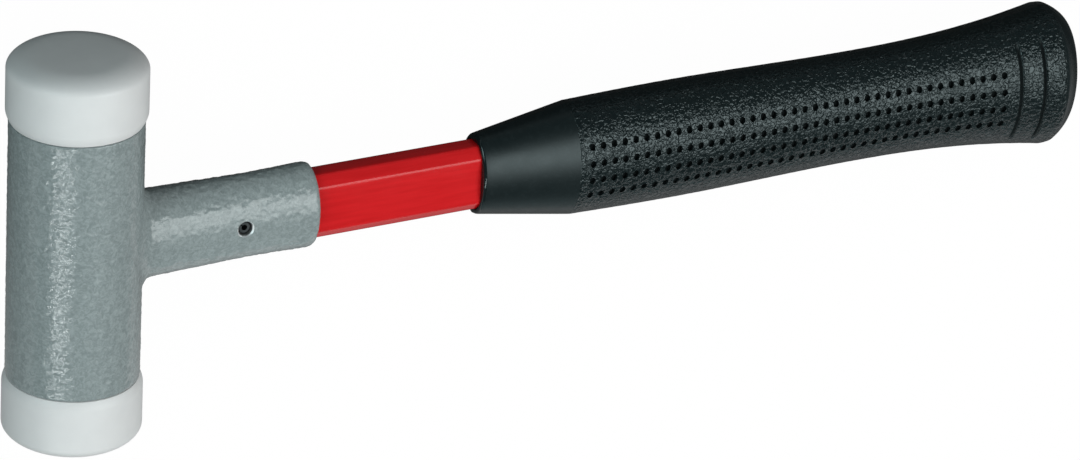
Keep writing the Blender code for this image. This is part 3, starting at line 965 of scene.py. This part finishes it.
def gripStations():
    # (x, half height, half width) from the mouth to the middle of the butt
    start, end = grip["start"], grip["start"] + grip["length"]
    shoulderAt, buttAt = start + grip["nose"], end - grip["buttRound"]

    def half(x):
        return core["height"] / 2 + gripWall(x, 0), core["width"] / 2 + gripWall(x, 1)

    stations = []
    for angle in np.radians(np.linspace(0, 90, 6)):
        x = start + grip["mouthRound"] * (1 - math.cos(angle))
        shrink = grip["mouthRound"] * (1 - math.sin(angle))
        stations.append((x, *[size - shrink for size in half(x)]))
    finer = grip["grooves"][0] - grip["fineFromGroove"]
    plain = np.linspace(start + grip["mouthRound"], shoulderAt, 26)[1:]
    body = np.linspace(shoulderAt, finer, int((finer - shoulderAt) / grip["step"]))[1:]
    fine = np.linspace(finer, buttAt, int((buttAt - finer) / grip["fineStep"]))[1:]
    stations += [(x, *half(x)) for x in np.concatenate([plain, body, fine])]
    # the side runs on to a soft edge, and the end beyond it is domed
    for share in np.linspace(0, 1, 14)[1:]:
        x = buttAt + grip["buttEdge"] * share
        stations.append((x, *[size - grip["buttEdgeDrop"] * share**2 for size in half(x)]))
    edgeAt, drop = buttAt + grip["buttEdge"], grip["buttEdgeDrop"]
    bend = drop + (end - edgeAt) * math.tan(math.radians(grip["buttLean"]))
    for share in np.linspace(0, 1, 22)[1:]:
        left = 1 - share
        x = end - (end - edgeAt) * left**2
        shrink = drop * left**2 + 2 * bend * left * share + grip["buttRound"] * share**2
        stations.append((x, *[size - shrink for size in half(x)]))
    x, high, wide = stations[-1]
    stations += [(x, high * share, wide * share) for share in (0.8, 0.6, 0.4, 0.2, 0.02)]
    return stations


def markRecess(obj):
    # 0 on the skin of the grip, 1 well below it; this mask puts painted shade in the dimples and grooves
    points = np.empty(len(obj.data.vertices) * 3)
    obj.data.vertices.foreach_get("co", points)
    x, y, z = points.reshape(-1, 3).T
    places, high, wide = np.array(gripStations()).T
    high, wide = np.interp(x, places, high), np.interp(x, places, wide)
    below = wide * (1 - np.hypot(y / high, z / wide))
    below = np.where(x < grip["grainTo"], below, 0)
    setPoints(obj, "recess", np.clip((below - grip["recessFrom"]) / grip["recessFade"], 0, 1))


def makeGrip():
    turn = np.linspace(0, 2 * math.pi, grip["around"], endpoint=False)
    lean = np.degrees(np.arctan2(np.sin(turn), np.abs(np.cos(turn))))  # 0 on the flanks, 90 on the top line
    fade = ease((grip["grooveReach"] - np.abs(lean)) / grip["grooveFade"])
    fadeIn, fadeOut = grip["grainFade"]
    rings, skin = [], []
    for x, high, wide in gripStations():
        y, z = high * np.sin(turn), wide * np.cos(turn)
        normalY, normalZ = np.sin(turn) / high, np.cos(turn) / wide
        size = np.hypot(normalY, normalZ)
        push = np.zeros_like(turn)
        for place in grip["grooves"]:
            reach = abs(x - place) / grip["grooveHalf"]
            if reach < 1:
                push -= grip["grooveDepth"] * fade * math.cos(reach * math.pi / 2)
        if x < grip["grainTo"]:
            offTop = np.abs(z) / grip["seamHalf"]
            push += grip["seamHigh"] * np.clip(1 - offTop, 0, 1)
        pushY, pushZ = push * normalY / size, push * normalZ / size
        rings.append(np.stack([np.full_like(turn, x), y + pushY, z + pushZ], -1))
        show = ease((x - grip["grainFrom"]) / fadeIn + 0.5) * ease((grip["grainTo"] - x) / fadeOut + 0.5)
        skin += [show] * grip["around"]
    obj = loftObject("grip", rings)
    rubber = makeRubber(*[(lie @ Vector((grip[key], 0, 0))).x for key in ("start", "grainFrom", "grainTo")])
    grain = [grip[key] for key in ("grainLump", "grain", "grainLevel", "grainSeed")]
    addRelief(obj, skin, *grain, rubber)
    bellyHigh = core["height"] / 2 + grip["bellyWall"][0]
    bellyWide = core["width"] / 2 + grip["bellyWall"][1]
    ratio = bellyHigh / bellyWide
    addTree(obj, buildDimples(), {**dimples, "Section Ratio": ratio, "Material": rubber})
    bore = makeBore("gripBore", grip["boreFrom"], core["end"] + core["gap"])
    cutAway(obj, bore)
    freeze(obj)
    dropCutter(bore)
    markRecess(obj)
    settle(obj, "hammer", "black_rubber", "grip")


makeGrip()


# shot inside the head, and the discs that close its chamber
def makeShot():
    names = sorted(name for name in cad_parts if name.startswith("shot_"))
    low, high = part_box(names[0])
    mesh = bpy.data.meshes.new("shotCharge")
    mesh.from_pydata([middleOf(name) for name in names], [], [])
    obj = newObject("shotCharge", mesh)
    steel = makeSteel("ballSteel", (0.50, 0.50, 0.51), (0.58, 0.58, 0.58), 0.2, 0.3)
    addTree(obj, buildBalls(), {"Ball Radius": (high.y - low.y) / 2, "Material": steel})
    freeze(obj, sharpAngle=60)
    handOver(obj, "shot_charge", "ball_steel", *names)


makeShot()
discSteel = makeSteel("discSteel", (0.38, 0.38, 0.38), (0.46, 0.46, 0.46), 0.34, 0.46)
for name in ("upper_disc", "lower_disc"):
    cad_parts[name].data.materials.clear()
    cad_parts[name].data.materials.append(discSteel)


# camera, floor and light
camera = {
    "place": (-0.60819, 0.77674, 1.38916),
    "right": (0.8934, 0.0471, 0.4468),
    "up": (0.1648, 0.8909, -0.4233),
    "lens": 231.54,
    "sensor": 36.0,
    "reach": 50.0,
}


def makeCamera():
    data = bpy.data.cameras.new("camera")
    data.lens = camera["lens"]
    data.sensor_width = camera["sensor"]
    data.clip_end = camera["reach"]
    obj = newObject("camera", data)
    right = Vector(camera["right"]).normalized()
    back = right.cross(Vector(camera["up"])).normalized()
    obj.matrix_world = lie @ Matrix.Translation(camera["place"]) @ standing(right, back)
    scene.camera = obj


floor = {
    "half": 8.0,
    "paper": (0.06, 0.06, 0.06),
    "contact": 0.02,
    "contactSize": 0.40,
    "shadowMiddle": (0.30, 0.10),
    "shadowReach": (1.15, 0.28),
    "shadowCore": 0.4,
}


def makeFloor():
    half = floor["half"]
    mesh = bpy.data.meshes.new("floor")
    corners = [(-half, -half, 0), (half, -half, 0), (half, half, 0), (-half, half, 0)]
    mesh.from_pydata(corners, [], [(0, 1, 2, 3)])
    obj = newObject("floor", mesh)
    material = bpy.data.materials.new("paperFloor")
    material.use_nodes = True
    tree = material.node_tree
    tree.nodes.clear()
    output = addNode(tree, "ShaderNodeOutputMaterial", 700, 0)
    paper = addNode(tree, "ShaderNodeBsdfDiffuse", 200, 150, {"Color": (*floor["paper"], 1)})
    # white where it is seen or mirrored; painted shadow: mirrored rays see the dark paper inside an ellipse
    # round the hammer, and the camera sees a faint painted contact shadow from ambient occlusion
    path = addNode(tree, "ShaderNodeLightPath", -700, 300)
    place = addNode(tree, "ShaderNodeTexCoord", -1250, 150).outputs["Object"]
    shadow = {"Location": (*floor["shadowMiddle"], 0), "Scale": (*floor["shadowReach"], 1)}
    spread = addNode(tree, "ShaderNodeMapping", -1080, 150, shadow, vector_type="TEXTURE")
    away = addNode(tree, "ShaderNodeVectorMath", -900, 150, operation="LENGTH")
    inner = {"From Min": floor["shadowCore"]}
    clear = addNode(tree, "ShaderNodeMapRange", -700, 50, inner, interpolation_type="SMOOTHSTEP")
    tree.links.new(place, spread.inputs["Vector"])
    tree.links.new(spread.outputs["Vector"], away.inputs[0])
    tree.links.new(away.outputs["Value"], clear.inputs["Value"])
    glossy, through = path.outputs["Is Glossy Ray"], path.outputs["Is Transmission Ray"]
    mirrored = mathNode(tree, "MAXIMUM", -450, 200, glossy, through)
    mirrored = mathNode(tree, "MULTIPLY", -280, 200, mirrored, clear.outputs["Result"])
    around = addNode(tree, "ShaderNodeAmbientOcclusion", -450, -200, {"Distance": floor["contactSize"]})
    contact = floor["contact"]
    soft = mathNode(tree, "MULTIPLY_ADD", -280, -50, around.outputs["AO"], contact, 1 - contact)
    seen = mathNode(tree, "MULTIPLY", -120, 50, path.outputs["Is Camera Ray"], soft)
    seen = mathNode(tree, "MAXIMUM", 40, 100, seen, mirrored)
    white = addNode(tree, "ShaderNodeEmission", 200, 0, {"Strength": 1.0})
    mix = addNode(tree, "ShaderNodeMixShader", 450, 0)
    tree.links.new(seen, mix.inputs["Fac"])
    tree.links.new(paper.outputs[0], mix.inputs[1])
    tree.links.new(white.outputs[0], mix.inputs[2])
    tree.links.new(mix.outputs[0], output.inputs["Surface"])
    mesh.materials.append(material)


plainTint, coolTint = (0.95, 0.995, 0.99), (0.79, 0.98, 1.0)
studio = {"tint": coolTint, "strength": 0.21}
lights = [
    {
        "name": "overheadSoftbox",
        "place": (0.33, 0.030, 0.96),
        "aim": (0.10, -0.025, 0.02),
        "up": (0, 1, 0),
        "size": (0.95, 0.80),
        "power": 4.2,
        "tint": plainTint,
    },
    {
        "name": "overheadMiddle",
        "place": (0.33, 0.120, 0.95),
        "aim": (0.10, 0.065, 0.02),
        "up": (0, 1, 0),
        "size": (0.85, 0.50),
        "power": 4.3,
        "tint": plainTint,
    },
    {
        "name": "sideStrip",
        "place": (-0.69, -0.41, 0.62),
        "aim": (-0.13, 0.0, 0.02),
        "up": (0, 0, 1),
        "size": (0.035, 0.60),
        "power": 1.9,
        "tint": plainTint,
    },
    {
        "name": "headFill",
        "place": (-0.95, 0.42, 0.45),
        "aim": (0.0, 0.02, 0.02),
        "up": (0, 0, 1),
        "size": (0.50, 0.50),
        "power": 3.7,
        "tint": coolTint,
    },
    {
        "name": "frontFill",
        "place": (0.05, -0.95, 0.25),
        "aim": (0.0, 0.0, 0.02),
        "up": (0, 0, 1),
        "size": (1.30, 0.40),
        "power": 0.8,
        "tint": coolTint,
    },
]


def makeLights():
    for light in lights:
        data = bpy.data.lights.new(light["name"], "AREA")
        data.shape = "RECTANGLE"
        data.size, data.size_y = light["size"]
        data.energy = light["power"]
        data.color = light["tint"]
        obj = newObject(light["name"], data)
        back = (Vector(light["place"]) - Vector(light["aim"])).normalized()
        side = Vector(light["up"]).cross(back).normalized()
        obj.matrix_world = Matrix.Translation(light["place"]) @ standing(side, back)
    world = bpy.data.worlds.new("studio")
    world.use_nodes = True
    background = world.node_tree.nodes["Background"]
    background.inputs["Color"].default_value = (*studio["tint"], 1)
    background.inputs["Strength"].default_value = studio["strength"]
    scene.world = world


makeCamera()
makeFloor()
makeLights()
scene.view_settings.view_transform = "Standard"
print("camera, floor and light ready")
